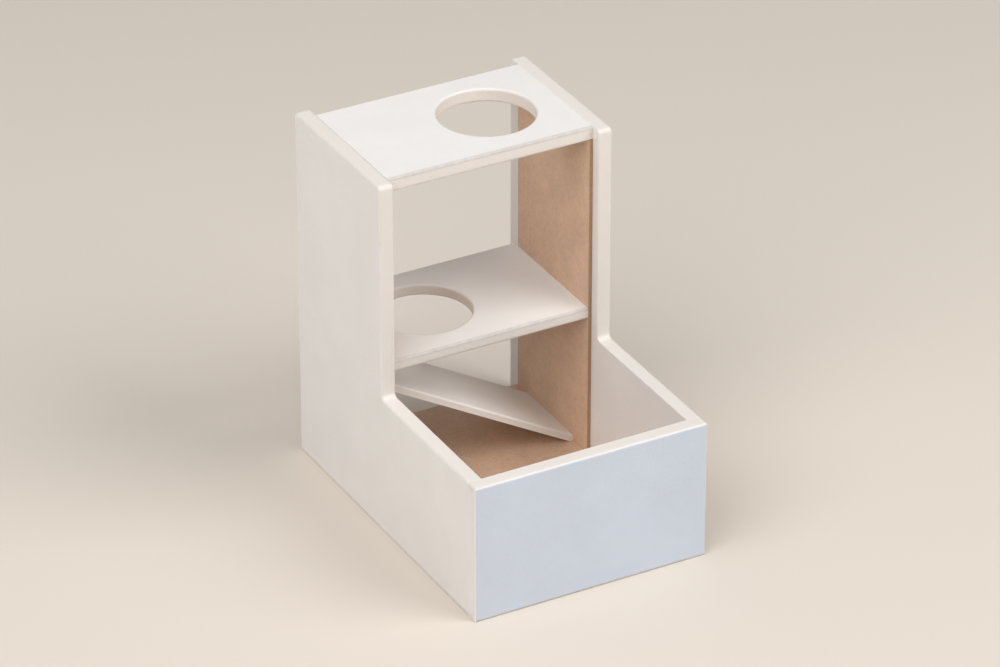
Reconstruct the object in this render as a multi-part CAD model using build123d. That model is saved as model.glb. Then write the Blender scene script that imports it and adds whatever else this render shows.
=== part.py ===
"""Two-storey play house for a small rodent, built from painted and raw fibreboard.

Millimetres. The house stands on z = 0, centred on the origin.
Its low front faces -y and its open back +y.
"""
import os
from math import acos, atan2, cos, hypot, tan

from build123d import *

# Overall size
house_width = 104.0
house_depth = 150.0
house_height = 156.0

# Side panels: tall behind, low in front
side_thickness = 6.2
tall_depth = 72.5
low_height = 61.0
top_corner_radius = 2.0
inner_corner_radius = 2.0
foot_corner_radius = 1.5

# Front board, laid over the front ends of the side panels
front_thickness = 6.2

# Roof, shelf and floor, set between the side panels and a little in from their back ends
roof_thickness = 6.0
floor_thickness = 6.2
shelf_thickness = 5.0
shelf_top_height = 74.0
level_depth = 62.0
back_setback = 6.0

# Round climbing holes: the roof's beside the right panel, the shelf's beside the left one
hole_diameter = 40.0
hole_side_margin = 11.3

# Raw linings of the side panels, from floor to roof, stopping short of the shelf's back edge
lining_thickness = 1.6
lining_back_step = 3.5

# Ramp between the linings, high on the left, its head clear of the shelf above
ramp_thickness = 3.0
ramp_width = 40.0
ramp_head_clearance = 9.5
ramp_toe_share = 0.7

# Softened edges of the painted boards: outside, and where another board comes close
arris_radius = 1.0
joint_arris_radius = 0.4
arris_limit_share = 0.25

# Pins driven through the side panels and the front board, heads sunk and filled over
pin_diameter = 1.4
pin_length = 20.0
pin_tip_length = 2.0
pin_tip_share = 0.2
pin_sink = 0.8
pin_edge_distance = 9.0
pin_clearance = 0.05

# Places worked out from the sizes above
outer_x = house_width / 2
inner_x = outer_x - side_thickness
lined_x = inner_x - lining_thickness
back_y = house_depth / 2
front_y = -back_y
tray_y = front_y + front_thickness
tall_front_y = back_y - tall_depth
level_back_y = back_y - back_setback
level_front_y = level_back_y - level_depth
level_y = (level_front_y + level_back_y) / 2
hole_offset = inner_x - hole_side_margin - hole_diameter / 2
shelf_low_z = shelf_top_height - shelf_thickness
ramp_head_height = shelf_low_z - ramp_head_clearance
roof_low_z = house_height - roof_thickness


def block(x_range, y_range, z_range):
    """A square-edged board between the given limits."""
    low = Vector(x_range[0], y_range[0], z_range[0])
    high = Vector(x_range[1], y_range[1], z_range[1])
    size = high - low
    return Pos((low + high) / 2) * Box(size.X, size.Y, size.Z)


def arris(thickness, radius=arris_radius):
    """Rounding of a painted board's edges, kept well inside its thickness."""
    return min(radius, arris_limit_share * thickness)


def side_panel(side):
    """L-shaped panel on the left (-1) or the right (1), softened all round but at its square front end."""
    corners = (
        (tray_y, 0, 0),
        (back_y, 0, foot_corner_radius),
        (back_y, house_height, top_corner_radius),
        (tall_front_y, house_height, top_corner_radius),
        (tall_front_y, low_height, inner_corner_radius),
        (tray_y, low_height, 0),
    )
    points = [(y, z) for y, z, radius in corners]
    radii = [radius for y, z, radius in corners]
    profile = make_face(FilletPolyline(*points, radius=radii, close=True))
    panel = extrude(Plane.YZ * profile, side_thickness)
    panel = Pos(inner_x if side > 0 else -outer_x, 0, 0) * panel
    for outer, radius in ((True, arris_radius), (False, joint_arris_radius)):
        face = panel.faces().filter_by(Axis.X).sort_by(Axis.X)[-1 if outer == (side > 0) else 0]
        rims = face.edges().group_by(Axis.Y)[1:]
        panel = fillet([edge for group in rims for edge in group], arris(side_thickness, radius))
    return panel


def front_cover():
    """Front board across the whole width, its face and upper edges softened."""
    board = block((-outer_x, outer_x), (front_y, tray_y), (0, low_height))
    inside = board.faces().sort_by(Axis.Y)[-1].edges().sort_by(Axis.Z)[-1]
    board = fillet(inside, arris(front_thickness, joint_arris_radius))
    face = board.faces().sort_by(Axis.Y)[0]
    return fillet(face.edges(), arris(front_thickness))


def level_board(end_x, z_range, hole_x):
    """Roof or shelf, its long edges and the rims of its round hole softened."""
    thickness = z_range[1] - z_range[0]
    board = block((-end_x, end_x), (level_front_y, level_back_y), z_range)
    board = fillet(board.edges().filter_by(Axis.X), arris(thickness))
    hole = Pos(hole_x, level_y, sum(z_range) / 2) * Cylinder(hole_diameter / 2, 2 * thickness)
    board -= hole
    return fillet(board.edges().filter_by(GeomType.CIRCLE), arris(thickness))


def lining(side):
    """Raw lining board glued to a side panel's inner face, flush with the shelf in front."""
    x_range = sorted((side * lined_x, side * inner_x))
    y_range = (level_front_y, level_back_y - lining_back_step)
    return block(x_range, y_range, (floor_thickness, roof_low_z))


def ramp_board():
    """Sloping board cut plumb at both linings and level where its toe stands on the floor."""
    run = 2 * lined_x
    rise = ramp_head_height - floor_thickness
    slope = acos(ramp_toe_share * ramp_thickness / hypot(rise, run)) - atan2(run, rise)
    plumb_thickness = ramp_thickness / cos(slope)
    toe_height = ramp_toe_share * plumb_thickness
    seat_length = (plumb_thickness - toe_height) / tan(slope)
    points = (
        (-lined_x, ramp_head_height),
        (lined_x, floor_thickness + toe_height),
        (lined_x, floor_thickness),
        (lined_x - seat_length, floor_thickness),
        (-lined_x, ramp_head_height - plumb_thickness),
    )
    profile = make_face(Polyline(*points, close=True))
    board = Pos(0, level_y, 0) * extrude(Plane.XZ * profile, ramp_width / 2, both=True)
    top = board.faces().sort_by(Axis.Z)[-1]
    long_edges = top.edges().filter_by(Axis.Y, reverse=True)
    return fillet(long_edges, arris(ramp_thickness))


def pin(place, clearance=0):
    """Headless pin driven in at a place; with a clearance, the hole it needs."""
    radius = pin_diameter / 2 + clearance
    shank_length = pin_length - pin_tip_length
    shank = Cylinder(radius, shank_length + clearance)
    shank = Pos(0, 0, (shank_length + clearance) / 2 - clearance) * shank
    tip = Cone(radius, pin_tip_share * radius, pin_tip_length + clearance)
    tip = Pos(0, 0, shank_length + (pin_tip_length + clearance) / 2) * tip
    return place * (shank + tip)


def pinned(board, places):
    """The board with the holes for its pins."""
    for place in places:
        board -= pin(place, pin_clearance)
    return board


def through_side(side, points):
    """Places of pins driven in through one side panel, at (y, z) points."""
    head_x = side * (outer_x - pin_sink)
    return [Pos(head_x, y, z) * Rot(0, -side * 90, 0) for y, z in points]


def through_front(side, heights):
    """Places of pins driven in through the front board into the end of one side panel."""
    return [Pos(side * (outer_x + inner_x) / 2, front_y + pin_sink, z) * Rot(-90, 0, 0) for z in heights]


# Where the pins sit, first for the left side panel and then for the right one
level_pin_ys = (level_front_y + pin_edge_distance, level_back_y - pin_edge_distance)
floor_pin_ys = (tray_y + pin_edge_distance, (tray_y + level_back_y) / 2, level_back_y - pin_edge_distance)
front_pin_zs = (pin_edge_distance, low_height / 2, low_height - pin_edge_distance)
roof_points = [(y, house_height - roof_thickness / 2) for y in level_pin_ys]
shelf_points = [(y, shelf_top_height - shelf_thickness / 2) for y in level_pin_ys]
floor_points = [(y, floor_thickness / 2) for y in floor_pin_ys]
roof_places, shelf_places, floor_places = (
    [through_side(side, points) for side in (-1, 1)] for points in (roof_points, shelf_points, floor_points)
)
front_places = [through_front(side, front_pin_zs) for side in (-1, 1)]
left_places, right_places = (
    [*roof, *shelf, *floor, *front]
    for roof, shelf, floor, front in zip(roof_places, shelf_places, floor_places, front_places)
)

roof_range = (roof_low_z, house_height)
shelf_range = (shelf_low_z, shelf_top_height)
floor = block((-inner_x, inner_x), (tray_y, level_back_y), (0, floor_thickness))

nodes = {
    "left_side_panel": pinned(side_panel(-1), left_places),
    "right_side_panel": pinned(side_panel(1), right_places),
    "front_board": pinned(front_cover(), sum(front_places, [])),
    "roof_board": pinned(level_board(inner_x, roof_range, hole_offset), sum(roof_places, [])),
    "middle_shelf": pinned(level_board(lined_x, shelf_range, -hole_offset), sum(shelf_places, [])),
    "floor_board": pinned(floor, sum(floor_places, [])),
    "left_lining": pinned(lining(-1), shelf_places[0]),
    "right_lining": pinned(lining(1), shelf_places[1]),
    "ramp": ramp_board(),
    "roof_pins": Compound(children=[pin(place) for place in sum(roof_places, [])]),
    "shelf_pins": Compound(children=[pin(place) for place in sum(shelf_places, [])]),
    "front_board_pins": Compound(children=[pin(place) for place in sum(front_places, [])]),
    "floor_pins": Compound(children=[pin(place) for place in sum(floor_places, [])]),
}

os.makedirs("parts", exist_ok=True)
for name, shape in nodes.items():
    export_step(shape, f"parts/{name}.step")
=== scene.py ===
import math

import bmesh
import bpy
import numpy as np
from bpy.props import FloatProperty, FloatVectorProperty, PointerProperty
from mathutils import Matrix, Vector, noise


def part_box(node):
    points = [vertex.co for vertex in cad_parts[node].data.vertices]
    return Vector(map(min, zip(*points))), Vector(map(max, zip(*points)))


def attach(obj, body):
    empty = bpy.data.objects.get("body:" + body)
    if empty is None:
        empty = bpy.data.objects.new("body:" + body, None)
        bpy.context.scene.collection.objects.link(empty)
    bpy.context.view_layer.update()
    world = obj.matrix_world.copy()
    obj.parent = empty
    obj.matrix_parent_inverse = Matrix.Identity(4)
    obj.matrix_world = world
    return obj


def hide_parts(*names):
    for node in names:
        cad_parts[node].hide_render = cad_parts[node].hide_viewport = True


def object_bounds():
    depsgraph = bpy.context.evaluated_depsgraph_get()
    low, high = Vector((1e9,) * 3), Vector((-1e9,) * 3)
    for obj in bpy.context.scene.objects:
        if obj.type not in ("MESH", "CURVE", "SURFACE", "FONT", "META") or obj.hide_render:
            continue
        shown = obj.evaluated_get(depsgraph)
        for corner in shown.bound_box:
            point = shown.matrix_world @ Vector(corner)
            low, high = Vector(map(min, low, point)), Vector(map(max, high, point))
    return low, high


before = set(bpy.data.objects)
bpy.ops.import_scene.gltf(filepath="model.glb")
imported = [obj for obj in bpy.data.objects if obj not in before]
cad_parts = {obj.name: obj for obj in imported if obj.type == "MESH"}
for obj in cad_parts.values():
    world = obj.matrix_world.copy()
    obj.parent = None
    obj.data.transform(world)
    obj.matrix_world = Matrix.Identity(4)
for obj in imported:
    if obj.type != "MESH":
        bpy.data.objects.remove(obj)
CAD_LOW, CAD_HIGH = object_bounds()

bl_info = {
    "name": "Two-storey play house",
    "version": (1, 0, 0),
    "blender": (4, 5, 0),
    "location": "3D View > Sidebar > Play house",
    "description": "Painted fibreboard play house with a tray, a ramp, a shelf and a roof",
    "category": "Object",
}

MM = 0.001
AXES = "XYZ"

# Steps on a rounded outline corner, on a softened edge, round a climbing hole and across half a dish
CORNER_STEPS = 6
ARRIS_STEPS = 4
HOLE_STEPS = 72
DISH_STEPS = 4

# Mesh lines: their distances from a rim in millimetres, and how near they come to an end or each other
RIM_LINES = (1.1, 2.2, 3.6)
END_CLEARANCE = 0.9 * MM
LINE_CLEARANCE = 0.2 * MM

# Points nearer than TOUCH are one point, and a cut nearer than CUT_SNAP to a point goes through it
TOUCH = 0.001 * MM
CUT_SNAP = 0.0001 * MM

# Edges that turn by more than these angles, in radians, are softened or shaded sharp
SQUARE_EDGE = 0.5
SHARP_SHADING = math.radians(35)

# An arris takes at most this share of a thin board
ARRIS_LIMIT = 0.3

# Width of the slow swells in the painted faces, in millimetres
SWELL_SIZE = 22.0

# Widths in which a sawn edge's finish fades into the face's, the blue coat ends and the grey front-arris
# line ends
CUT_FADE = 0.6 * MM
COAT_FADE = 0.25 * MM
FRONT_LINE_REACH = 1.8 * MM

# Places of the colour sockets on a Mix node that mixes colours
MIX_A, MIX_B, MIX_RESULT = 6, 7, 2

# Lamps: the stage's property with the power, then the place and the diameter in metres
LAMPS = (
    ("left", (-1.0, -0.5, 1.3), 1.6),
    ("right", (0.9, -1.0, 1.2), 1.4),
    ("back", (-0.6, 0.9, 1.3), 1.4),
)

# Half the floor's width in metres
FLOOR_REACH = 6.0


def linear(hex_colour):
    """An sRGB hex colour as linear red, green and blue."""
    channels = [int(hex_colour[i:i + 2], 16) / 255 for i in (1, 3, 5)]
    return tuple(c / 12.92 if c <= 0.04045 else ((c + 0.055) / 1.055) ** 2.4 for c in channels)


def length(name, millimetres, description):
    """A length property with its default in millimetres."""
    return FloatProperty(name=name, description=description, default=millimetres * MM, min=0, unit="LENGTH",
                         precision=5)


def colour(name, hex_colour, description):
    """A colour property with its default as an sRGB hex value."""
    return FloatVectorProperty(name=name, description=description, default=linear(hex_colour), size=3, min=0,
                               max=1, subtype="COLOR")


class PlayHouseSizes(bpy.types.PropertyGroup):
    """Sizes that the boards take besides the places of the CAD nodes."""

    arris: length("Arris radius", 1.0, "Rounding of the painted boards' outer edges")
    joint_arris: length("Joint arris radius", 0.4, "Rounding of painted edges close to another board")
    raw_arris: length("Raw arris radius", 0.2, "Rounding of unpainted edges and of edges in a joint")
    top_corner: length("Top corner radius", 2.0, "Outline rounding of the side panels' upper corners")
    inner_corner: length("Inner corner radius", 2.0, "Outline rounding between low front and tall back")
    foot_corner: length("Foot corner radius", 1.5, "Outline rounding of the side panels' feet")
    tall_depth: length("Tall depth", 72.5, "Depth of the tall back part of a side panel")
    low_height: length("Low height", 61.0, "Height of the low front part of a side panel")
    hole_diameter: length("Climbing hole", 40.0, "Diameter of the round holes in the roof and the shelf")
    hole_side_margin: length("Hole margin", 11.3, "From a hole to the side panel beside it")
    ramp_thickness: length("Ramp thickness", 3.0, "Thickness of the ramp square to its slope")
    ramp_toe_share: FloatProperty(name="Ramp toe", default=0.7, min=0, max=1, subtype="FACTOR",
                                  description="Share of the plumb thickness left at the ramp's toe")
    grid: length("Mesh grid", 6.0, "Widest spacing of the boards' mesh lines")
    unevenness: length("Unevenness", 0.06, "How far the painted faces dip below flat")
    dish_diameter: length("Filled pin dish", 3.2, "Width of the filled hollow over a sunk pin")
    dish_depth: length("Dish depth", 0.2, "Depth of the filled hollow over a sunk pin")


class PlayHouseColours(bpy.types.PropertyGroup):
    """Colours of the finishes and of the stage."""

    white: colour("White paint", "#EEEAE6", "Warm white paint on the boards")
    white_edge: colour("White paint on edges", "#D9CEC1", "White paint soaked into a sawn edge")
    blue: colour("Blue paint", "#CDD5E2", "Pale grey-blue paint on the front face")
    worn: colour("Worn arris", "#B3A69A", "Board showing through thin paint")
    # Grey painted as a patchy line along the front arrises of the roof and the shelf
    front_arris_grey: colour("Scuffed arris", "#B9B3AE", "Grey scuffing on much-used front edges")
    board: colour("Fibreboard", "#DDBA9E", "Unpainted fibreboard face")
    board_light: colour("Light fibre", "#EACFB6", "Pale fibres in the board")
    board_dark: colour("Dark fibre", "#B58F70", "Dark fibres in the board")
    board_cut: colour("Cut edge", "#AD8968", "Darkened saw-cut edge of the board")
    steel: colour("Pin steel", "#B9BBBE", "Drawn steel wire")
    floor: colour("Studio floor", "#DDD3C7", "Plain pale floor")
    ambient: colour("Even light", "#F2F4F7", "Slightly cool light all round")


class PlayHouseStage(bpy.types.PropertyGroup):
    """Camera and lamps."""

    azimuth: FloatProperty(name="Camera azimuth", description="Turn of the camera from the front",
                           unit="ROTATION", default=math.radians(-28.7))
    elevation: FloatProperty(name="Camera elevation", description="Camera angle above level",
                             unit="ROTATION", default=math.radians(30.0))
    distance: FloatProperty(name="Camera distance", description="From the camera to the house",
                            unit="LENGTH", default=2.26)
    lens: FloatProperty(name="Lens", description="Focal length in millimetres", default=205.0, min=1)
    left: FloatProperty(name="Left lamp", description="Power of the large soft lamp on the upper left",
                        unit="POWER", default=20.0)
    right: FloatProperty(name="Right lamp", description="Power of the soft lamp on the upper right",
                         unit="POWER", default=21.0)
    back: FloatProperty(name="Back lamp", description="Power of the weak soft lamp behind",
                        unit="POWER", default=3.0)
    ambient: FloatProperty(name="Ambient light", description="Strength of the even light all round",
                           default=0.22)


def add_node(tree, kind, sockets=None, **settings):
    """Add one node with its settings; a socket gets a value, or a link when given another node's socket."""
    made = tree.nodes.new(kind)
    for key, value in settings.items():
        setattr(made, key, value)
    for key, value in (sockets or {}).items():
        if isinstance(value, bpy.types.NodeSocket):
            tree.links.new(value, made.inputs[key])
        else:
            made.inputs[key].default_value = value
    return made


def opaque(rgb):
    """A colour with full alpha for a node socket."""
    return (*rgb, 1.0)


def new_material(name):
    """An empty material and its node tree, with the output in place."""
    material = bpy.data.materials.new(name)
    material.use_nodes = True
    tree = material.node_tree
    tree.nodes.clear()
    output = add_node(tree, "ShaderNodeOutputMaterial")
    return material, tree, output


def shared_material(name, maker, *args, **kwargs):
    """The material of that name, made on first use."""
    return bpy.data.materials.get(name) or maker(name, *args, **kwargs)


def per_metre(millimetres):
    """Texture scale that gives features of this size."""
    return 1.0 / (millimetres * MM)


# Water-based white paint rolled on to sanded fibreboard. The eye sees a soft satin skin with a fine roller
# stipple, faint cloudiness, a creamier and duller coat where the sawn edges drank the paint, and thin spots
# on the arrises. The stipple is drawn about twice as coarse as a real roller leaves it, so that it shows.
def rolled_paint(name, blue_face=False):
    """White paint; with blue_face, pale blue on the part of the surface marked by the attribute 'coat'."""
    colours = bpy.context.scene.play_house_colours
    # Pattern sizes and the stipple's height in millimetres
    cloud_size, stipple_size, speck_size, stipple_height = 28, 1.1, 2.6, 0.12
    # Shades of the paint between the clouds, and the roughness that a sawn edge adds
    white_shade, blue_shade, sawn_dullness = 0.965, 0.955, 0.12
    material, tree, output = new_material(name)
    place = add_node(tree, "ShaderNodeTexCoord").outputs["Object"]
    rim = add_node(tree, "ShaderNodeAttribute", attribute_name="rim").outputs["Fac"]
    cut = add_node(tree, "ShaderNodeAttribute", attribute_name="cut").outputs["Fac"]
    rubbed = add_node(tree, "ShaderNodeAttribute", attribute_name="rubbed").outputs["Fac"]
    cloud = add_node(tree, "ShaderNodeTexNoise", {
        "Vector": place, "Scale": per_metre(cloud_size), "Detail": 3.0, "Roughness": 0.55}).outputs["Fac"]
    stipple = add_node(tree, "ShaderNodeTexNoise", {
        "Vector": place, "Scale": per_metre(stipple_size), "Detail": 2.0, "Roughness": 0.5}).outputs["Fac"]
    speck = add_node(tree, "ShaderNodeTexNoise", {
        "Vector": place, "Scale": per_metre(speck_size), "Detail": 4.0, "Roughness": 0.65}).outputs["Fac"]

    cloudy = add_node(tree, "ShaderNodeMapRange", {
        "Value": cloud, "From Min": 0.35, "From Max": 0.65}).outputs["Result"]
    paint = add_node(tree, "ShaderNodeMix", {
        "Factor": cloudy, MIX_A: opaque([c * white_shade for c in colours.white]),
        MIX_B: opaque(colours.white)}, data_type="RGBA").outputs[MIX_RESULT]
    if blue_face:
        blue = add_node(tree, "ShaderNodeMix", {
            "Factor": cloudy, MIX_A: opaque([c * blue_shade for c in colours.blue]),
            MIX_B: opaque(colours.blue)}, data_type="RGBA").outputs[MIX_RESULT]
        coat = add_node(tree, "ShaderNodeAttribute", attribute_name="coat").outputs["Fac"]
        covered = add_node(tree, "ShaderNodeMapRange", {
            "Value": coat, "From Min": 0.35, "From Max": 0.65}).outputs["Result"]
        paint = add_node(tree, "ShaderNodeMix", {"Factor": covered, MIX_A: paint, MIX_B: blue},
                         data_type="RGBA").outputs[MIX_RESULT]

    soaked = add_node(tree, "ShaderNodeMapRange", {"Value": cut, "To Max": 0.45}).outputs["Result"]
    # Thin paint: within a millimetre of an arris, and there only where the speck noise is high
    near = add_node(tree, "ShaderNodeMapRange", {
        "Value": rim, "From Min": 0.15, "From Max": 0.9, "To Min": 1.0, "To Max": 0.0}).outputs["Result"]
    thin = add_node(tree, "ShaderNodeMapRange", {
        "Value": speck, "From Min": 0.6, "From Max": 0.75, "To Max": 0.4}).outputs["Result"]
    wear = add_node(tree, "ShaderNodeMath", {0: near, 1: thin}, operation="MULTIPLY").outputs[0]
    # A grey, patchy line painted along the front arrises of the roof and the shelf
    line = add_node(tree, "ShaderNodeMapRange", {
        "Value": rubbed, "From Min": 0.15, "From Max": 0.6}).outputs["Result"]
    patchy = add_node(tree, "ShaderNodeMapRange", {
        "Value": speck, "From Min": 0.3, "From Max": 0.7, "To Min": 0.5, "To Max": 0.85}).outputs["Result"]
    front_arris_share = add_node(tree, "ShaderNodeMath", {0: line, 1: patchy}, operation="MULTIPLY").outputs[0]
    for share, layer in ((soaked, colours.white_edge), (wear, colours.worn), (front_arris_share, colours.front_arris_grey)):
        paint = add_node(tree, "ShaderNodeMix", {"Factor": share, MIX_A: paint, MIX_B: opaque(layer)},
                         data_type="RGBA").outputs[MIX_RESULT]

    satin = add_node(tree, "ShaderNodeMapRange", {
        "Value": speck, "From Min": 0.3, "From Max": 0.7, "To Min": 0.44, "To Max": 0.56}).outputs["Result"]
    dull = add_node(tree, "ShaderNodeMath", {0: cut, 1: sawn_dullness, 2: satin},
                    operation="MULTIPLY_ADD").outputs[0]
    bump = add_node(tree, "ShaderNodeBump", {
        "Height": stipple, "Strength": 0.9, "Distance": stipple_height * MM})
    shader = add_node(tree, "ShaderNodeBsdfPrincipled", {
        "Base Color": paint, "Roughness": dull, "IOR": 1.5, "Normal": bump.outputs["Normal"]})
    tree.links.new(shader.outputs["BSDF"], output.inputs["Surface"])
    return material


# Hardboard and fibreboard pressed from wood fibre and left unpainted. The eye sees a warm tan, slightly
# polished skin crossed by short pale and dark fibres lying every way, and edges darkened by the saw. The
# fibres are drawn a few times thicker than real ones, so that they show.
def pressed_fibreboard(name, across, shade=1.0):
    """Raw board; across, X or Z, is the axis square to it; shade scales its colour."""
    colours = bpy.context.scene.play_house_colours
    # Pattern sizes and the grit's height in millimetres
    cloud_size, fibre_width, fibre_length, grit_size, grit_height = 14, 0.36, 2.8, 0.7, 0.08
    # Shades of the board in the dark and the pale clouds
    dark_mottle, pale_mottle = 0.88, 1.05
    material, tree, output = new_material(name)
    place = add_node(tree, "ShaderNodeTexCoord").outputs["Object"]
    cut = add_node(tree, "ShaderNodeAttribute", attribute_name="cut").outputs["Fac"]
    cloud = add_node(tree, "ShaderNodeTexNoise", {
        "Vector": place, "Scale": per_metre(cloud_size), "Detail": 4.0, "Roughness": 0.6}).outputs["Fac"]
    grit = add_node(tree, "ShaderNodeTexNoise", {
        "Vector": place, "Scale": per_metre(grit_size), "Detail": 2.0, "Roughness": 0.6}).outputs["Fac"]
    mottle = add_node(tree, "ShaderNodeMapRange", {
        "Value": cloud, "From Min": 0.3, "From Max": 0.7}).outputs["Result"]
    face = add_node(tree, "ShaderNodeMix", {
        "Factor": mottle, MIX_A: opaque([c * dark_mottle * shade for c in colours.board]),
        MIX_B: opaque([c * pale_mottle * shade for c in colours.board])},
        data_type="RGBA").outputs[MIX_RESULT]

    # Three layers of pale fibres and three of dark ones, each turned in the board by its own angle
    pale, dark = colours.board_light, colours.board_dark
    stretch = [per_metre(fibre_length if axis == "Y" else fibre_width) for axis in AXES]
    stretch[AXES.index(across)] = 1.0
    for turn, fibre in ((0.2, pale), (1.3, dark), (2.2, pale), (0.8, dark), (2.8, pale), (1.8, dark)):
        angles = [turn if axis == across else 0.0 for axis in AXES]
        turned = add_node(tree, "ShaderNodeMapping", {"Vector": place, "Rotation": angles},
                          vector_type="TEXTURE").outputs["Vector"]
        laid = add_node(tree, "ShaderNodeMapping", {
            "Vector": turned, "Location": [turn] * 3, "Scale": stretch}).outputs["Vector"]
        strand = add_node(tree, "ShaderNodeTexNoise", {
            "Vector": laid, "Scale": 1.0, "Detail": 1.0}).outputs["Fac"]
        share = add_node(tree, "ShaderNodeMapRange", {
            "Value": strand, "From Min": 0.58, "From Max": 0.72, "To Max": 0.32}).outputs["Result"]
        face = add_node(tree, "ShaderNodeMix", {
            "Factor": share, MIX_A: face, MIX_B: opaque([c * shade for c in fibre])},
            data_type="RGBA").outputs[MIX_RESULT]

    grain = add_node(tree, "ShaderNodeMapRange", {
        "Value": grit, "From Min": 0.3, "From Max": 0.7, "To Min": 0.8, "To Max": 1.15}).outputs["Result"]
    sawn = add_node(tree, "ShaderNodeVectorMath", {
        0: [c * shade for c in colours.board_cut], "Scale": grain}, operation="SCALE").outputs["Vector"]
    face = add_node(tree, "ShaderNodeMix", {"Factor": cut, MIX_A: face, MIX_B: sawn},
                    data_type="RGBA").outputs[MIX_RESULT]
    dull = add_node(tree, "ShaderNodeMapRange", {
        "Value": cut, "To Min": 0.55, "To Max": 0.85}).outputs["Result"]
    bump = add_node(tree, "ShaderNodeBump", {
        "Height": grit, "Strength": 0.5, "Distance": grit_height * MM})
    shader = add_node(tree, "ShaderNodeBsdfPrincipled", {
        "Base Color": face, "Roughness": dull, "IOR": 1.5, "Normal": bump.outputs["Normal"]})
    tree.links.new(shader.outputs["BSDF"], output.inputs["Surface"])
    return material


# Bright drawn steel wire, cut into pins. The eye sees a grey metal with faint draw lines along the pin.
def drawn_steel(name, along):
    """Steel wire; along is the axis that the pins and their draw lines follow."""
    colours = bpy.context.scene.play_house_colours
    # Sizes of the draw lines in millimetres
    line_length, line_width = 6, 0.2
    material, tree, output = new_material(name)
    place = add_node(tree, "ShaderNodeTexCoord").outputs["Object"]
    stretch = [per_metre(line_length if axis == along else line_width) for axis in AXES]
    drawn = add_node(tree, "ShaderNodeMapping", {"Vector": place, "Scale": stretch}).outputs["Vector"]
    lines = add_node(tree, "ShaderNodeTexNoise", {
        "Vector": drawn, "Scale": 1.0, "Detail": 2.0}).outputs["Fac"]
    rough = add_node(tree, "ShaderNodeMapRange", {
        "Value": lines, "To Min": 0.25, "To Max": 0.45}).outputs["Result"]
    shader = add_node(tree, "ShaderNodeBsdfPrincipled", {
        "Base Color": opaque(colours.steel), "Metallic": 1.0, "Roughness": rough})
    tree.links.new(shader.outputs["BSDF"], output.inputs["Surface"])
    return material


# Matt emulsion on a plain studio floor. The eye sees an even pale ground with hardly any shine.
def matt_floor(name):
    """Plain floor of the stage."""
    colours = bpy.context.scene.play_house_colours
    material, tree, output = new_material(name)
    shader = add_node(tree, "ShaderNodeBsdfPrincipled", {
        "Base Color": opaque(colours.floor), "Roughness": 0.9, "Specular IOR Level": 0.1})
    tree.links.new(shader.outputs["BSDF"], output.inputs["Surface"])
    return material


def rounded_outline(corners):
    """Closed outline through corners given as (u, v, radius), with arcs at the rounded ones."""
    points = []
    for i, (u, v, radius) in enumerate(corners):
        here = Vector((u, v))
        to_last = (Vector(corners[i - 1][:2]) - here).normalized()
        to_next = (Vector(corners[(i + 1) % len(corners)][:2]) - here).normalized()
        if radius <= 0:
            points.append(here)
            continue
        half = to_last.angle(to_next) / 2
        centre = here + (to_last + to_next).normalized() * (radius / math.sin(half))
        start = here + to_last * (radius / math.tan(half)) - centre
        end = here + to_next * (radius / math.tan(half)) - centre
        sweep = start.angle_signed(end)
        first = math.atan2(start.y, start.x)
        for k in range(CORNER_STEPS + 1):
            a = first - sweep * k / CORNER_STEPS
            points.append(centre + Vector((math.cos(a), math.sin(a))) * radius)
    return points


def box_outline(low, high, u, v):
    """Square-cornered outline between two corners of a box, in the plane of two of its axes."""
    return [Vector(p) for p in ((low[u], low[v]), (high[u], low[v]), (high[u], high[v]), (low[u], high[v]))]


def circle_points(centre, radius, first, last, steps):
    """Points on an arc from one angle to another, both ends included."""
    angles = [first + (last - first) * k / steps for k in range(steps + 1)]
    return [Vector((centre[0] + radius * math.cos(a), centre[1] + radius * math.sin(a))) for a in angles]


def closed_edges(points):
    """Segments of a closed outline."""
    return [(points[i], points[(i + 1) % len(points)]) for i in range(len(points))]


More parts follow.
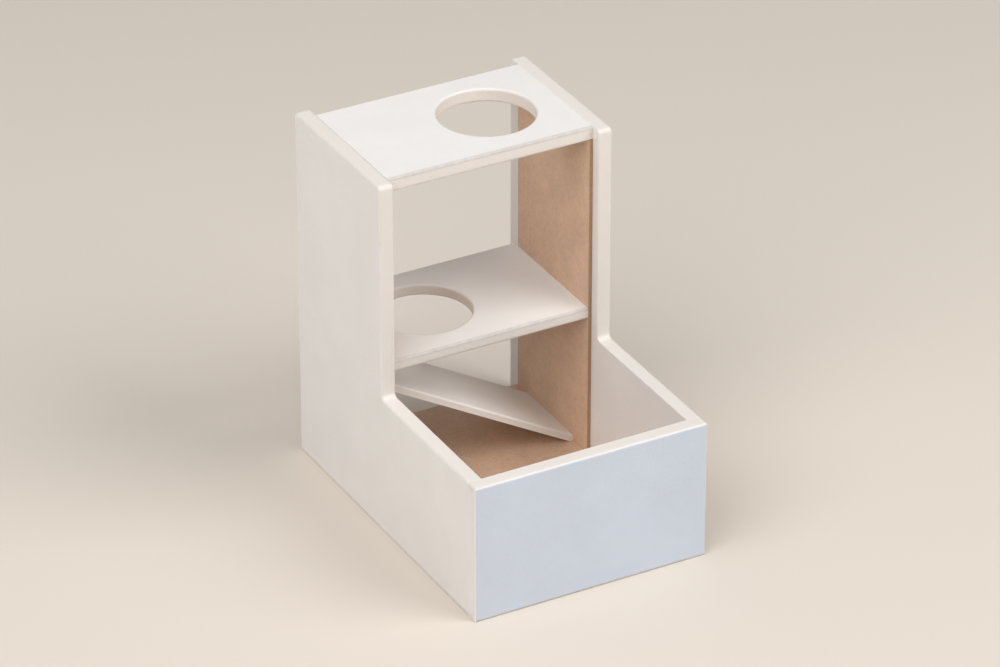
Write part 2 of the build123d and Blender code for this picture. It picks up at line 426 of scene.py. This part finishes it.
class Board:
    """A board as a prism: polygons in a plane, drawn along one axis between two values.

    axes names the two axes of the plane and then the prism's axis. edges lists the outline's open edges as
    segments; distances to them give the attributes 'rim' and 'cut'.
    """

    def __init__(self, polygons, axes, low, high, edges):
        self.polygons = polygons
        self.axes = [AXES.index(a) for a in axes]
        self.low = low
        self.high = high
        self.edges = edges

    def point(self, u, v, w):
        """A point given in the plane and along the prism, in the frame's axes."""
        place = [0.0, 0.0, 0.0]
        for axis, value in zip(self.axes, (u, v, w)):
            place[axis] = value
        return place

    def solid(self):
        """The plain prism as a closed bmesh."""
        mesh = bmesh.new()
        for polygon in self.polygons:
            rings = [[mesh.verts.new(self.point(p.x, p.y, w)) for p in polygon]
                     for w in (self.low, self.high)]
            mesh.faces.new(rings[0])
            mesh.faces.new(rings[1])
            for i in range(len(polygon)):
                j = (i + 1) % len(polygon)
                mesh.faces.new((rings[0][i], rings[0][j], rings[1][j], rings[1][i]))
        bmesh.ops.remove_doubles(mesh, verts=mesh.verts, dist=TOUCH)
        inner = [f for f in mesh.faces if any(self.runs_along(e) for e in f.edges)
                 and all(len(e.link_faces) > 2 for e in f.edges if self.runs_along(e))]
        bmesh.ops.delete(mesh, geom=inner, context="FACES_ONLY")
        bmesh.ops.recalc_face_normals(mesh, faces=mesh.faces)
        return mesh

    def runs_along(self, edge):
        """Whether an edge lies along the prism's axis."""
        step = edge.verts[1].co - edge.verts[0].co
        return abs(step[self.axes[2]]) > 0.5 * (self.high - self.low)

    def distances(self, coords):
        """Distance of each point to the open outline edges and to the prism's two end planes."""
        plane = coords[:, self.axes[:2]]
        along = coords[:, self.axes[2]]
        to_outline = np.full(len(coords), np.inf)
        for a, b in self.edges:
            a, b = np.array(a), np.array(b)
            run = b - a
            t = np.clip((plane - a) @ run / (run @ run), 0, 1)
            gap = np.linalg.norm(plane - (a + t[:, None] * run), axis=1)
            to_outline = np.minimum(to_outline, gap)
        to_ends = np.minimum(abs(along - self.low), abs(self.high - along))
        return to_outline, to_ends


def lies_at(edge, axis, place):
    """Whether both ends of an edge have this place on an axis."""
    return all(abs(v.co[axis] - place) < TOUCH for v in edge.verts)


def soften(mesh, radius, wanted):
    """Round the square edges that wanted(edge) picks."""
    square = [e for e in mesh.edges if len(e.link_faces) == 2 and e.calc_face_angle() > SQUARE_EDGE]
    bmesh.ops.bevel(mesh, geom=[e for e in square if wanted(e)], offset=radius, offset_type="OFFSET",
                    segments=ARRIS_STEPS, profile=0.5, affect="EDGES", clamp_overlap=True)


def rule_lines(mesh, axis, places):
    """Cut mesh lines across the board at the given places on one axis."""
    normal = Vector([1.0 if i == axis else 0.0 for i in range(3)])
    for place in places:
        geometry = mesh.verts[:] + mesh.edges[:] + mesh.faces[:]
        bmesh.ops.bisect_plane(mesh, geom=geometry, plane_co=normal * place, plane_no=normal, dist=CUT_SNAP)


def spread(low, high, grid, rims, extra=()):
    """Places for mesh lines: an even grid, closer lines beside each rim, and any extra ones."""
    count = max(1, round((high - low) / grid))
    places = [low + (high - low) * k / count for k in range(1, count)]
    for rim in rims:
        places += [rim + side * gap * MM for side in (-1, 1) for gap in RIM_LINES]
    places += list(extra)
    places = sorted(p for p in places if low + END_CLEARANCE < p < high - END_CLEARANCE)
    kept = []
    for place in places:
        if not kept or place - kept[-1] > LINE_CLEARANCE:
            kept.append(place)
    return kept


def even_lines(low, high, parts):
    """Places that divide a thickness into equal parts."""
    return [low + (high - low) * k / parts for k in range(1, parts)]


def plain_piece(name, mesh):
    """An object in the scene made from a bmesh, which is used up."""
    data = bpy.data.meshes.new(name)
    mesh.to_mesh(data)
    mesh.free()
    piece = bpy.data.objects.new(name, data)
    bpy.context.scene.collection.objects.link(piece)
    return piece


def finish_board(name, node, mesh, board, material, depth=0.0, cut_on_walls=True):
    """Turn a bmesh into a finished piece that stands for a CAD node."""
    piece = plain_piece(name, mesh)
    dress(piece, board, material, depth, cut_on_walls)
    adopt(piece, node)
    return piece


def vertex_places(piece):
    """The places of a piece's vertices as an array."""
    coords = np.zeros(len(piece.data.vertices) * 3)
    piece.data.vertices.foreach_get("co", coords)
    return coords.reshape(-1, 3)


def set_attribute(piece, label, values):
    """Give each vertex a value that a finish reads."""
    layer = piece.data.attributes.new(label, "FLOAT", "POINT")
    layer.data.foreach_set("value", values.astype(np.float32))


def settle(coords, normals, depth):
    """Dip each point below flat by a slow, repeatable unevenness."""
    dips = [0.5 + 0.5 * noise.noise(Vector(c) * per_metre(SWELL_SIZE)) for c in coords]
    return coords - normals * (np.clip(dips, 0, 1) * depth)[:, None]


def dress(piece, board, material, depth=0.0, cut_on_walls=True):
    """Unevenness, shading and the attributes that the finishes read.

    'rim' is the distance from the nearest arris in millimetres. 'cut' is 1 on the sawn edges, which are the
    prism's walls, or its two ends if cut_on_walls is false.
    """
    data = piece.data
    coords = vertex_places(piece)
    normals = np.zeros(len(data.vertices) * 3, np.float32)
    data.vertex_normals.foreach_get("vector", normals)
    to_outline, to_ends = board.distances(coords)
    lean = (to_ends - to_outline) if cut_on_walls else (to_outline - to_ends)
    set_attribute(piece, "rim", np.maximum(to_outline, to_ends) / MM)
    set_attribute(piece, "cut", np.clip(0.5 + lean / CUT_FADE, 0, 1))
    if depth:
        coords = settle(coords, normals.reshape(-1, 3), depth)
        data.vertices.foreach_set("co", coords.ravel())
    data.materials.clear()
    data.materials.append(material)
    data.shade_smooth()
    data.set_sharp_from_angle(angle=SHARP_SHADING)
    weighted = piece.modifiers.new("weighted", "WEIGHTED_NORMAL")
    weighted.keep_sharp = True
    bake_modifiers(piece)


def bake_modifiers(piece):
    """Replace a piece's mesh by what its modifiers make of it, and drop them."""
    bpy.context.view_layer.update()
    graph = bpy.context.evaluated_depsgraph_get()
    made = bpy.data.meshes.new_from_object(piece.evaluated_get(graph), preserve_all_data_layers=True,
                                           depsgraph=graph)
    old = piece.data
    piece.modifiers.clear()
    piece.data = made
    bpy.data.meshes.remove(old)
    made.name = piece.name


def adopt(piece, node):
    """Let a piece stand for a CAD node and ride on its body."""
    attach(piece, "root")
    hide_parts(node)


def pin_heads(side):
    """Middles of the pins' sunk heads, moved out to a side panel's outer face and read from the CAD pins."""
    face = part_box("right_side_panel")[1].x if side > 0 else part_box("left_side_panel")[0].x
    head_depth, head_width = 0.01 * MM, 3 * MM
    heads = []
    for node in ("roof_pins", "shelf_pins", "floor_pins"):
        coords = np.array([v.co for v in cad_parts[node].data.vertices])
        outward = coords[:, 0] * side
        for point in coords[outward > outward.max() - head_depth]:
            near = [h for h in heads if np.linalg.norm(h[0][1:] - point[1:]) < head_width]
            if near:
                near[0].append(point)
            else:
                heads.append([point])
    middles = [(np.min(h, 0) + np.max(h, 0)) / 2 for h in heads]
    return [Vector((face, *middle[1:])) for middle in middles]


def sunk_heads_tree():
    """Geometry Nodes tree that dishes a panel's face over each sunk pin head."""
    tree = bpy.data.node_groups.get("sunk_pin_heads")
    if tree:
        return tree
    tree = bpy.data.node_groups.new("sunk_pin_heads", "GeometryNodeTree")
    sockets = (("Geometry", "NodeSocketGeometry"), ("Places", "NodeSocketObject"),
               ("Dish diameter", "NodeSocketFloat"), ("Dish depth", "NodeSocketFloat"),
               ("Finish", "NodeSocketMaterial"))
    for label, kind in sockets:
        tree.interface.new_socket(label, in_out="INPUT", socket_type=kind)
    tree.interface.new_socket("Geometry", in_out="OUTPUT", socket_type="NodeSocketGeometry")
    given = add_node(tree, "NodeGroupInput").outputs
    places = add_node(tree, "GeometryNodeObjectInfo", {"Object": given["Places"]}).outputs["Geometry"]
    near = add_node(tree, "GeometryNodeProximity", {0: places}, target_element="POINTS").outputs["Distance"]
    radius = add_node(tree, "ShaderNodeMath", {0: given["Dish diameter"], 1: 0.5},
                      operation="MULTIPLY").outputs[0]
    fall = add_node(tree, "ShaderNodeMapRange", {
        "Value": near, "From Max": radius, "To Min": 1.0, "To Max": 0.0},
        interpolation_type="SMOOTHSTEP").outputs["Result"]
    sink = add_node(tree, "ShaderNodeMath", {0: fall, 1: given["Dish depth"]},
                    operation="MULTIPLY").outputs[0]
    inward = add_node(tree, "ShaderNodeMath", {0: sink, 1: -1.0}, operation="MULTIPLY").outputs[0]
    normal = add_node(tree, "GeometryNodeInputNormal").outputs[0]
    offset = add_node(tree, "ShaderNodeVectorMath", {0: normal, "Scale": inward},
                      operation="SCALE").outputs["Vector"]
    moved = add_node(tree, "GeometryNodeSetPosition", {"Geometry": given["Geometry"], "Offset": offset})
    real = add_node(tree, "GeometryNodeRealizeInstances", {"Geometry": moved.outputs["Geometry"]})
    finish = add_node(tree, "GeometryNodeSetMaterial", {
        "Geometry": real.outputs["Geometry"], "Material": given["Finish"]})
    add_node(tree, "NodeGroupOutput", {"Geometry": finish.outputs["Geometry"]})
    return tree


def run_tree(piece, tree, **values):
    """Run a Geometry Nodes tree on a piece and keep the result as its plain mesh."""
    modifier = piece.modifiers.new(tree.name, "NODES")
    modifier.node_group = tree
    inputs = {item.name: item.identifier for item in tree.interface.items_tree if item.in_out == "INPUT"}
    for label, value in values.items():
        modifier[inputs[label.replace("_", " ")]] = value
    bake_modifiers(piece)


class PLAYHOUSE_OT_side_panels(bpy.types.Operator):
    """Make the two L-shaped side panels with their filled pin heads"""

    bl_idname = "play_house.side_panels"
    bl_label = "Side panels"

    def execute(self, context):
        sizes = context.scene.play_house_sizes
        paint = shared_material("rolled_white_paint", rolled_paint)
        dish_lines = [k * sizes.dish_diameter / (2 * DISH_STEPS) for k in range(-DISH_STEPS, DISH_STEPS + 1)]
        for side, node in ((-1, "left_side_panel"), (1, "right_side_panel")):
            low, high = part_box(node)
            step = high.y - sizes.tall_depth
            outline = rounded_outline((
                (low.y, low.z, 0.0),
                (high.y, low.z, sizes.foot_corner),
                (high.y, high.z, sizes.top_corner),
                (step, high.z, sizes.top_corner),
                (step, sizes.low_height, sizes.inner_corner),
                (low.y, sizes.low_height, 0.0),
            ))
            front_end = {(low.y, low.z), (low.y, sizes.low_height)}
            open_edges = [e for e in closed_edges(outline) if {tuple(p) for p in e} != front_end]
            board = Board([outline], "YZX", low.x, high.x, open_edges)
            mesh = board.solid()
            for x, radius in ((low.x, sizes.joint_arris if side > 0 else sizes.arris),
                              (high.x, sizes.arris if side > 0 else sizes.joint_arris)):
                soften(mesh, radius, lambda e: lies_at(e, 0, x) and not lies_at(e, 1, low.y))
            soften(mesh, sizes.raw_arris, lambda e: lies_at(e, 1, low.y))
            heads = pin_heads(side)
            if not heads:
                raise RuntimeError(f"no pins were found beside {node}")
            rule_lines(mesh, 1, spread(low.y, high.y, sizes.grid, (low.y, step, high.y),
                                       [h.y + k for h in heads for k in dish_lines]))
            rule_lines(mesh, 2, spread(low.z, high.z, sizes.grid, (low.z, sizes.low_height, high.z),
                                       [h.z + k for h in heads for k in dish_lines]))
            rule_lines(mesh, 0, even_lines(low.x, high.x, 4))
            piece = plain_piece("painted_" + node, mesh)
            points = bpy.data.meshes.new("pin_places")
            points.from_pydata([tuple(h) for h in heads], [], [])
            places = bpy.data.objects.new("pin_places", points)
            context.scene.collection.objects.link(places)
            run_tree(piece, sunk_heads_tree(), Places=places, Dish_diameter=sizes.dish_diameter,
                     Dish_depth=sizes.dish_depth, Finish=paint)
            bpy.data.objects.remove(places)
            bpy.data.meshes.remove(points)
            dress(piece, board, paint, sizes.unevenness)
            adopt(piece, node)
        return {"FINISHED"}


class PLAYHOUSE_OT_front_board(bpy.types.Operator):
    """Make the front board, white with a pale blue face"""

    bl_idname = "play_house.front_board"
    bl_label = "Front board"

    def execute(self, context):
        sizes = context.scene.play_house_sizes
        low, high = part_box("front_board")
        outline = box_outline(low, high, 0, 2)
        # Its ends are filled flush with the side panels, so only the top and bottom edges count as sawn
        sawn_edges = [(outline[0], outline[1]), (outline[2], outline[3])]
        board = Board([outline], "XZY", low.y, high.y, sawn_edges)
        mesh = board.solid()

        def at_top_end(edge):
            return lies_at(edge, 2, high.z) and (lies_at(edge, 0, low.x) or lies_at(edge, 0, high.x))

        soften(mesh, sizes.arris, lambda e: lies_at(e, 1, low.y) or at_top_end(e))
        soften(mesh, sizes.raw_arris, lambda e: lies_at(e, 1, high.y) and not lies_at(e, 2, low.z))
        rule_lines(mesh, 0, spread(low.x, high.x, sizes.grid, (low.x, high.x)))
        rule_lines(mesh, 2, spread(low.z, high.z, sizes.grid, (low.z, high.z)))
        rule_lines(mesh, 1, even_lines(low.y, high.y, 4))
        paint = shared_material("rolled_white_and_blue_paint", rolled_paint, blue_face=True)
        piece = finish_board("painted_front_board", "front_board", mesh, board, paint, sizes.unevenness)
        # The blue coat covers the flat front face and stops on the arris
        behind = vertex_places(piece)[:, 1] - low.y - sizes.unevenness
        set_attribute(piece, "coat", np.clip(1.0 - behind / COAT_FADE, 0, 1))
        return {"FINISHED"}


class PLAYHOUSE_OT_levels(bpy.types.Operator):
    """Make the roof board and the middle shelf with their climbing holes"""

    bl_idname = "play_house.levels"
    bl_label = "Roof and shelf"

    def execute(self, context):
        sizes = context.scene.play_house_sizes
        paint = shared_material("rolled_white_paint", rolled_paint)
        radius = sizes.hole_diameter / 2
        hole_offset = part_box("right_side_panel")[0].x - sizes.hole_side_margin - radius
        quarter, half_steps = math.pi / 2, HOLE_STEPS // 2
        rim_slack, edge_slack = 0.2 * MM, 0.01 * MM
        for node, side in (("roof_board", 1), ("middle_shelf", -1)):
            low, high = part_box(node)
            centre = (side * hole_offset, (low.y + high.y) / 2)
            # The board is drawn as two halves that meet on a line through the hole
            front, back = Vector((centre[0], low.y)), Vector((centre[0], high.y))
            left = [front, *circle_points(centre, radius, -quarter, -3 * quarter, half_steps),
                    back, Vector((low.x, high.y)), Vector((low.x, low.y))]
            right = [back, *circle_points(centre, radius, quarter, -quarter, half_steps),
                     front, Vector((high.x, low.y)), Vector((high.x, high.y))]
            hole = circle_points(centre, radius, 0, 4 * quarter, HOLE_STEPS)
            open_edges = [((low.x, low.y), (high.x, low.y)), ((low.x, high.y), (high.x, high.y))]
            open_edges += [(tuple(hole[i]), tuple(hole[i + 1])) for i in range(HOLE_STEPS)]
            board = Board([left, right], "XYZ", low.z, high.z, open_edges)
            mesh = board.solid()

            def on_open_rim(edge):
                if board.runs_along(edge):
                    return False
                middle = (edge.verts[0].co + edge.verts[1].co) / 2
                from_rim = abs(math.hypot(middle.x - centre[0], middle.y - centre[1]) - radius)
                from_long_edge = min(abs(middle.y - low.y), abs(middle.y - high.y))
                return from_rim < rim_slack or from_long_edge < edge_slack

            soften(mesh, min(sizes.arris, ARRIS_LIMIT * (high.z - low.z)), on_open_rim)
            rule_lines(mesh, 0, spread(low.x, high.x, sizes.grid, ()))
            rule_lines(mesh, 1, spread(low.y, high.y, sizes.grid, (low.y, high.y)))
            rule_lines(mesh, 2, even_lines(low.z, high.z, 3))
            piece = finish_board("painted_" + node, node, mesh, board, paint, sizes.unevenness)
            # Mark the front arrises, where a grey patchy line is painted
            coords = vertex_places(piece)
            from_arris = np.maximum(coords[:, 1] - low.y, high.z - coords[:, 2])
            set_attribute(piece, "rubbed", np.clip(1.0 - from_arris / FRONT_LINE_REACH, 0, 1))
        return {"FINISHED"}


class PLAYHOUSE_OT_ramp(bpy.types.Operator):
    """Make the ramp between the linings"""

    bl_idname = "play_house.ramp"
    bl_label = "Ramp"

    def execute(self, context):
        sizes = context.scene.play_house_sizes
        low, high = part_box("ramp")
        run, rise = high.x - low.x, high.z - low.z
        square_toe = sizes.ramp_toe_share * sizes.ramp_thickness
        slope = math.acos(square_toe / math.hypot(rise, run)) - math.atan2(run, rise)
        plumb = sizes.ramp_thickness / math.cos(slope)
        toe = sizes.ramp_toe_share * plumb
        seat = (plumb - toe) / math.tan(slope)
        outline = [Vector(p) for p in ((low.x, high.z), (high.x, low.z + toe), (high.x, low.z),
                                       (high.x - seat, low.z), (low.x, high.z - plumb))]
        open_edges = [(outline[0], outline[1]), (outline[3], outline[4])]
        board = Board([outline], "XZY", low.y, high.y, open_edges)
        mesh = board.solid()

        def top_long_edge(edge):
            a, b = edge.verts
            long = not board.runs_along(edge) and abs(a.co.x - b.co.x) > 0.9 * run
            return long and max(a.co.z, b.co.z) > high.z - 0.5 * plumb

        soften(mesh, min(sizes.arris, ARRIS_LIMIT * sizes.ramp_thickness), top_long_edge)
        rule_lines(mesh, 0, spread(low.x, high.x, sizes.grid, ()))
        rule_lines(mesh, 1, spread(low.y, high.y, sizes.grid, (low.y, high.y)))
        paint = shared_material("rolled_white_paint", rolled_paint)
        finish_board("painted_ramp", "ramp", mesh, board, paint, sizes.unevenness, cut_on_walls=False)
        return {"FINISHED"}


class PLAYHOUSE_OT_raw_boards(bpy.types.Operator):
    """Make the two unpainted linings and the floor board"""

    bl_idname = "play_house.raw_boards"
    bl_label = "Linings and floor"

    def execute(self, context):
        sizes = context.scene.play_house_sizes
        lining = shared_material("pressed_hardboard", pressed_fibreboard, "X")
        base = shared_material("bare_floor_fibreboard", pressed_fibreboard, "Z", shade=0.92)
        boards = (("left_lining", "YZX", lining), ("right_lining", "YZX", lining),
                  ("floor_board", "XYZ", base))
        for node, axes, material in boards:
            low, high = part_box(node)
            u, v, w = (AXES.index(a) for a in axes)
            outline = box_outline(low, high, u, v)
            board = Board([outline], axes, low[w], high[w], closed_edges(outline))
            mesh = board.solid()
            soften(mesh, sizes.raw_arris, lambda e: True)
            for axis in (u, v):
                rims = (low[axis], high[axis])
                rule_lines(mesh, axis, spread(*rims, sizes.grid, rims))
            finish_board("raw_" + node, node, mesh, board, material)
        return {"FINISHED"}


class PLAYHOUSE_OT_pins(bpy.types.Operator):
    """Give the hidden steel pins their finish"""

    bl_idname = "play_house.pins"
    bl_label = "Pins"

    def execute(self, context):
        sideways = shared_material("drawn_steel_wire_sideways", drawn_steel, "X")
        endways = shared_material("drawn_steel_wire_endways", drawn_steel, "Y")
        groups = (("roof_pins", sideways), ("shelf_pins", sideways), ("floor_pins", sideways),
                  ("front_board_pins", endways))
        for node, steel in groups:
            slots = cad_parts[node].material_slots
            if not slots:
                raise RuntimeError(f"{node} has no material slot")
            for slot in slots:
                slot.material = steel
        return {"FINISHED"}


class PLAYHOUSE_OT_stage(bpy.types.Operator):
    """Make the floor, the lamps and the camera"""

    bl_idname = "play_house.stage"
    bl_label = "Stage"

    def execute(self, context):
        scene = context.scene
        stage = scene.play_house_stage
        target = (CAD_LOW + CAD_HIGH) / 2
        self.lay_floor(scene)
        for name, place, size in LAMPS:
            lamp = bpy.data.lights.new(name + "_lamp", "AREA")
            lamp.shape = "DISK"
            lamp.size = size
            lamp.energy = getattr(stage, name)
            self.aim(scene, lamp, Vector(place), target - Vector(place))
        self.light_all_round(scene, stage)
        scene.view_settings.view_transform = "Standard"

        camera = bpy.data.cameras.new("photo_camera")
        camera.lens = stage.lens
        camera.sensor_width = 36.0
        camera.clip_end = 50.0
        level = math.cos(stage.elevation)
        back = Vector((math.sin(stage.azimuth) * level, -math.cos(stage.azimuth) * level,
                       math.sin(stage.elevation)))
        scene.camera = self.aim(scene, camera, target + back * stage.distance, -back)
        return {"FINISHED"}

    def lay_floor(self, scene):
        """A wide flat floor under the house."""
        reach = FLOOR_REACH
        data = bpy.data.meshes.new("studio_floor")
        corners = [(-reach, -reach, 0), (reach, -reach, 0), (reach, reach, 0), (-reach, reach, 0)]
        data.from_pydata(corners, [], [(0, 1, 2, 3)])
        data.materials.append(shared_material("matt_studio_floor", matt_floor))
        floor = bpy.data.objects.new("studio_floor", data)
        scene.collection.objects.link(floor)

    def aim(self, scene, data, place, direction):
        """Put a lamp or a camera at a place, turned to look along a direction."""
        holder = bpy.data.objects.new(data.name, data)
        holder.location = place
        holder.rotation_euler = direction.to_track_quat("-Z", "Y").to_euler()
        scene.collection.objects.link(holder)
        return holder

    def light_all_round(self, scene, stage):
        """Even light from every side."""
        world = bpy.data.worlds.new("even_light")
        world.use_nodes = True
        background = world.node_tree.nodes["Background"]
        background.inputs["Color"].default_value = opaque(scene.play_house_colours.ambient)
        background.inputs["Strength"].default_value = stage.ambient
        scene.world = world


STEPS = (PLAYHOUSE_OT_side_panels, PLAYHOUSE_OT_front_board, PLAYHOUSE_OT_levels, PLAYHOUSE_OT_ramp,
         PLAYHOUSE_OT_raw_boards, PLAYHOUSE_OT_pins, PLAYHOUSE_OT_stage)
GROUPS = {"play_house_sizes": PlayHouseSizes, "play_house_colours": PlayHouseColours,
          "play_house_stage": PlayHouseStage}


class PLAYHOUSE_PT_panel(bpy.types.Panel):
    """Sidebar panel that lists the pieces"""

    bl_idname = "PLAYHOUSE_PT_panel"
    bl_label = "Play house"
    bl_space_type = "VIEW_3D"
    bl_region_type = "UI"
    bl_category = "Play house"

    def draw(self, context):
        for step in STEPS:
            self.layout.operator(step.bl_idname)
        for group in GROUPS:
            box = self.layout.box()
            values = getattr(context.scene, group)
            for key in values.bl_rna.properties.keys():
                if key not in ("rna_type", "name"):
                    box.prop(values, key)


def register():
    """Make the classes and the scene's properties known to Blender."""
    for group in GROUPS.values():
        bpy.utils.register_class(group)
    for name, group in GROUPS.items():
        setattr(bpy.types.Scene, name, PointerProperty(type=group))
    for step in (*STEPS, PLAYHOUSE_PT_panel):
        bpy.utils.register_class(step)


def unregister():
    """Take them away again."""
    for step in (PLAYHOUSE_PT_panel, *reversed(STEPS)):
        bpy.utils.unregister_class(step)
    for name, group in GROUPS.items():
        delattr(bpy.types.Scene, name)
        bpy.utils.unregister_class(group)


def main():
    """Build the house and its stage."""
    register()
    bpy.ops.play_house.side_panels()
    bpy.ops.play_house.front_board()
    bpy.ops.play_house.levels()
    bpy.ops.play_house.ramp()
    bpy.ops.play_house.raw_boards()
    bpy.ops.play_house.pins()
    bpy.ops.play_house.stage()


if __name__ == "__main__":
    main()
